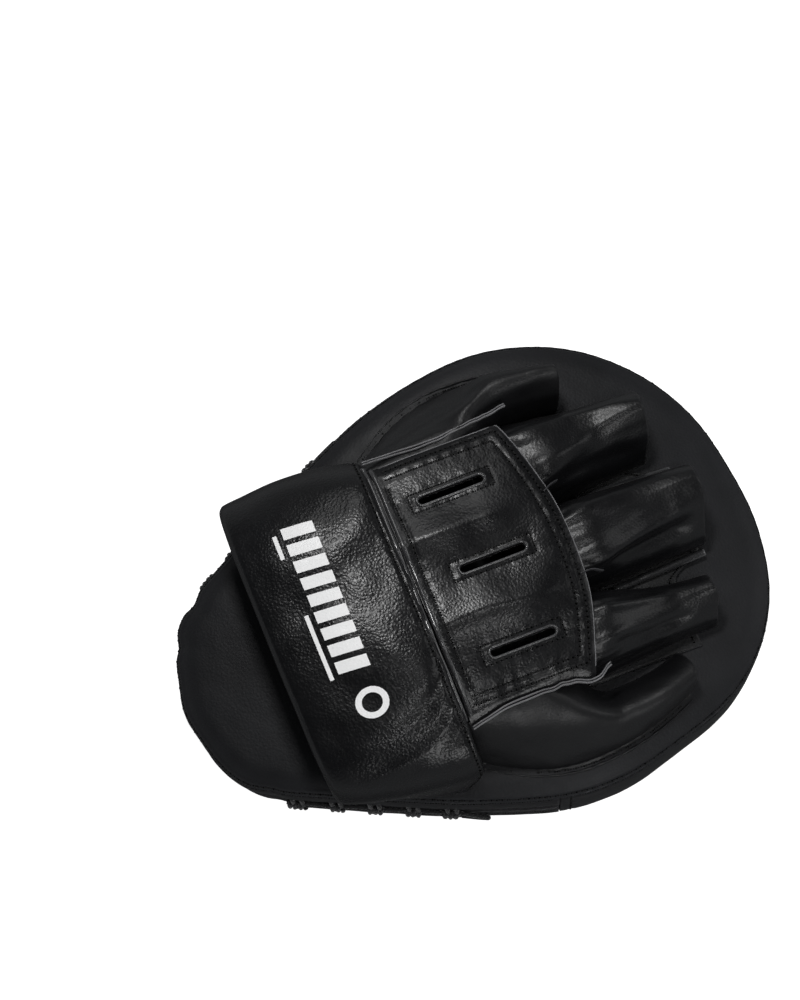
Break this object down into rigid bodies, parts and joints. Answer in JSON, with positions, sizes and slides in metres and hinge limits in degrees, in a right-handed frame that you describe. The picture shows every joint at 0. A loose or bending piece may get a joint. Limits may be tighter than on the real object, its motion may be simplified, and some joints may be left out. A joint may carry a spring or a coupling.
{
  "type": "focus mitt",
  "caption": "Curved focus mitt with a padded striking face, laced sidewall, vented hand cover, finger sleeves and a padded wrist cuff that lifts.",
  "frame": {"origin": "centre of the bounding box at its base: the mitt lies striking face down, on the flattened ends of its curved face", "axes": "+X from the wrist to the fingertips, +Y to one side of the hand, +Z from the striking face to the hand"},
  "size_m": [0.26, 0.1998, 0.103],
  "materials": {
    "face_leather": "satin black synthetic leather with a fine grain",
    "side_leather": "satin black synthetic leather",
    "back_leather": "matt black synthetic leather",
    "cover_leather": "glossy black synthetic leather",
    "cuff_leather": "glossy black pebbled synthetic leather",
    "lining_fabric": "black woven lining",
    "dense_foam": "closed-cell foam",
    "soft_foam": "open-cell foam",
    "lace_cord": "black braided cord"
  },
  "bodies": {
    "pad": {"face_cover": "face_leather", "gusset_finger_end": "side_leather", "gusset_wrist_lower": "side_leather", "gusset_wrist_upper": "side_leather", "back_panel": "back_leather", "impact_foam": "dense_foam", "core_foam": "dense_foam", "comfort_foam": "soft_foam", "lace_left": "lace_cord", "lace_right": "lace_cord", "hand_back_panel": "cover_leather", "hand_back_lining": "lining_fabric", "vent_binding_left": "cover_leather", "vent_binding_centre": "cover_leather", "vent_binding_right": "cover_leather", "finger_sleeve_left": "cover_leather", "finger_sleeve_centre": "cover_leather", "finger_sleeve_right": "cover_leather", "side_panel_left": "back_leather", "side_panel_right": "back_leather", "sleeve_base": "back_leather", "sleeve_seam_strip_left": "back_leather", "sleeve_seam_strip_right": "back_leather", "palm_grip": "back_leather", "side_piping_left": "cover_leather", "side_piping_right": "cover_leather", "cuff_seam_piping": "cover_leather"},
    "cuff": {"cuff_shell": "cuff_leather", "cuff_foam": "soft_foam", "cuff_lining": "lining_fabric"}
  },
  "joints": [
    {"name": "cuff_lift", "type": "hinge", "parent": "pad", "child": "cuff", "pos_m": [-0.02495, 0, 0.10467], "axis": [0, 1, 0], "range_deg": [0, 18], "stiffness_Nm_per_rad": 0.6}
  ]
}
